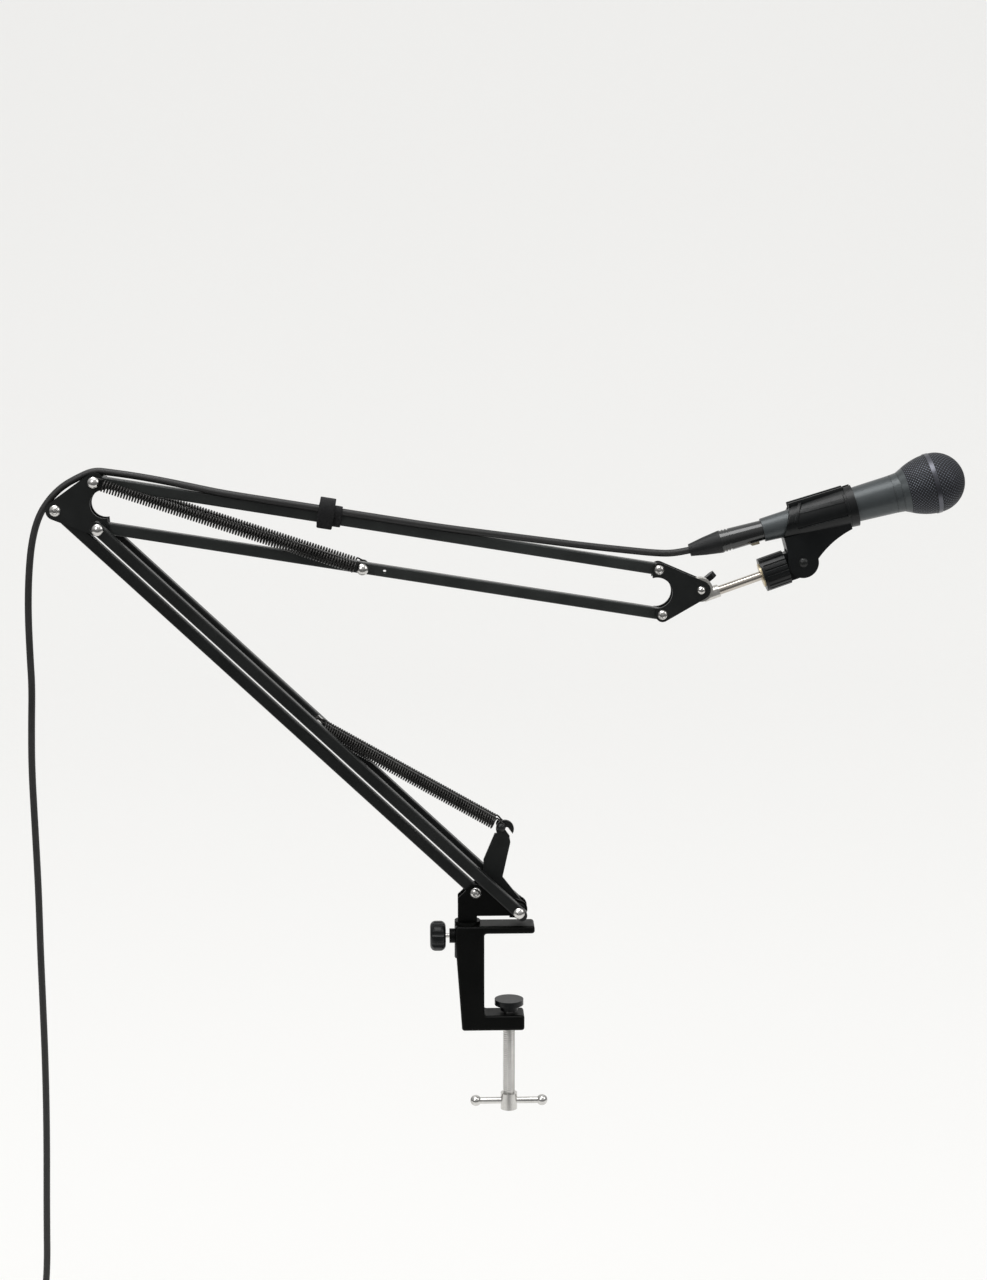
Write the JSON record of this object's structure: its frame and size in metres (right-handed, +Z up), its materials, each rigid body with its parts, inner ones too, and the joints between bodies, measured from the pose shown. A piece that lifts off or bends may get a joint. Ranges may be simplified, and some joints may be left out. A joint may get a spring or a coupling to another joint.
{
  "type": "microphone boom arm",
  "caption": "Spring-balanced desk boom arm with clamp base, parallel-bar arms, tilting head, microphone in a clip and its cable led along the arm.",
  "frame": {"origin": "centre of the underside of the clamp's top jaw, where it rests on the desk's edge", "axes": "+X along the arm towards the microphone, +Y away from the camera, +Z up"},
  "size_m": [0.8749, 0.0572, 0.9743],
  "materials": {
    "black_paint": "satin black paint",
    "spring_steel": "black oxide",
    "bright_steel": "bright nickel plate",
    "pale_metal": "satin cast",
    "brass": "turned",
    "black_plastic": "fine matte",
    "mic_body": "dark satin enamel",
    "mic_mesh": "dark woven wire",
    "mic_band": "dark satin",
    "mic_inside": "matte",
    "plug_body": "black lacquer",
    "boot_rubber": "matte",
    "latch_metal": "plain",
    "cable_rubber": "satin",
    "strap": "woven strap"
  },
  "bodies": {
    "clamp": {"clamp_frame": "black_paint"},
    "lock": {"lock_stud": "bright_steel", "lock_knob": "black_plastic"},
    "pad": {"clamp_pad": "black_plastic"},
    "screw": {"clamp_screw": "bright_steel", "clamp_handle": "bright_steel"},
    "base": {"swivel_post": "black_paint", "base_plate_front": "black_paint", "base_plate_back": "black_paint", "base_link_pin": "bright_steel", "base_arm_pin": "bright_steel", "base_bushes": "black_paint", "anchor_plate": "black_paint", "anchor_fillers": "black_paint", "anchor_pin": "black_paint"},
    "lower_arm": {"lower_bar_front": "black_paint", "lower_bar_back": "black_paint", "lower_spring_bolt": "bright_steel", "lower_spring_front": "spring_steel", "lower_spring_back": "spring_steel"},
    "lower_link": {"lower_link_bar": "black_paint"},
    "elbow": {"elbow_plate_front": "black_paint", "elbow_plate_back": "black_paint", "elbow_link_pin": "bright_steel", "elbow_arm_pin": "bright_steel", "elbow_top_pin": "bright_steel", "elbow_bushes": "black_paint", "elbow_spring_sleeves": "black_paint", "cable_hang": "cable_rubber", "cable_coil": "cable_rubber", "coil_tie": "strap", "far_plug": "plug_body"},
    "upper_top": {"upper_bar_top": "black_paint", "cable_tie": "strap", "cable_run": "cable_rubber"},
    "upper_bottom": {"upper_bar_bottom": "black_paint", "upper_spring_bolt": "bright_steel", "upper_spring_sleeves": "black_paint", "upper_spring_front": "spring_steel", "upper_spring_back": "spring_steel"},
    "head": {"head_plate_front": "black_paint", "head_plate_back": "black_paint", "head_pins": "bright_steel", "head_bolt": "bright_steel"},
    "wing": {"wing_nut": "black_plastic"},
    "knuckle": {"head_knuckle": "pale_metal", "mic_stud": "bright_steel", "clip_base": "black_plastic", "thread_insert": "brass"},
    "clip": {"clip_holder": "black_plastic", "clip_screw": "black_paint", "mic_handle": "mic_body", "mic_grille_lower": "mic_mesh", "mic_grille_band": "mic_band", "mic_grille_upper": "mic_mesh", "mic_capsule": "mic_inside", "mic_connector": "mic_inside", "plug_shell": "plug_body", "plug_boot": "boot_rubber"},
    "latch": {"plug_latch": "latch_metal"}
  },
  "joints": [
    {"name": "base_swivel", "type": "hinge", "parent": "clamp", "child": "base", "pos_m": [-0.0374, 0, 0.01], "axis": [0, 0, 1], "continuous": true},
    {"name": "lower_tilt", "type": "hinge", "parent": "base", "child": "lower_arm", "pos_m": [0.00804, 0, 0.02165], "axis": [0, 1, 0], "range_deg": [-6, 36], "deforming": ["lower_spring_front", "lower_spring_back"]},
    {"name": "link_tilt", "type": "hinge", "parent": "base", "child": "lower_link", "pos_m": [-0.03, 0, 0.0364], "axis": [0, 1, 0], "range_deg": [-6, 36]},
    {"name": "elbow_level", "type": "hinge", "parent": "lower_arm", "child": "elbow", "pos_m": [-0.35465, 0, 0.36582], "axis": [0, 1, 0], "range_deg": [-36, 6]},
    {"name": "upper_tilt", "type": "hinge", "parent": "elbow", "child": "upper_top", "pos_m": [-0.35799, 0, 0.40558], "axis": [0, 1, 0], "range_deg": [-50, 12], "deforming": ["upper_spring_front", "upper_spring_back", "cable_hang", "cable_run"]},
    {"name": "bottom_bar_tilt", "type": "hinge", "parent": "elbow", "child": "upper_bottom", "pos_m": [-0.35465, 0, 0.36582], "axis": [0, 1, 0], "range_deg": [-50, 12]},
    {"name": "head_level", "type": "hinge", "parent": "upper_top", "child": "head", "pos_m": [0.13065, 0, 0.32644], "axis": [0, 1, 0], "range_deg": [-12, 50]},
    {"name": "head_tilt", "type": "hinge", "parent": "head", "child": "knuckle", "pos_m": [0.16764, 0, 0.30834], "axis": [0, 1, 0], "range_deg": [-10, 20], "deforming": ["cable_run"]},
    {"name": "wing_turn", "type": "hinge", "parent": "head", "child": "wing", "pos_m": [0.16764, 0.01, 0.30834], "axis": [0, 1, 0], "continuous": true},
    {"name": "clip_tilt", "type": "hinge", "parent": "knuckle", "child": "clip", "pos_m": [0.25638, 0, 0.33276], "axis": [0, 1, 0], "range_deg": [-4, 18], "deforming": ["cable_run"]},
    {"name": "latch_press", "type": "slide", "parent": "clip", "child": "latch", "axis": [-0.2639, 0, 0.9646], "range_m": [0, 0.0012], "stiffness_N_per_m": 300},
    {"name": "lock_turn", "type": "hinge", "parent": "clamp", "child": "lock", "pos_m": [-0.0374, 0, -0.0045], "axis": [1, 0, 0], "continuous": true},
    {"name": "screw_turn", "type": "hinge", "parent": "pad", "child": "screw", "pos_m": [0, 0, -0.1], "axis": [0, 0, 1], "range_deg": [0, 10445]},
    {"name": "pad_lift", "type": "slide", "parent": "clamp", "child": "pad", "axis": [0, 0, 1], "range_m": [0, 0.058]}
  ],
  "couplings": [
    {"joint": "link_tilt", "follows": "lower_tilt", "ratio": 1},
    {"joint": "elbow_level", "follows": "lower_tilt", "ratio": -1},
    {"joint": "bottom_bar_tilt", "follows": "upper_tilt", "ratio": 1},
    {"joint": "head_level", "follows": "upper_tilt", "ratio": -1},
    {"joint": "screw_turn", "follows": "pad_lift", "rad_per_m": 3141.6}
  ]
}
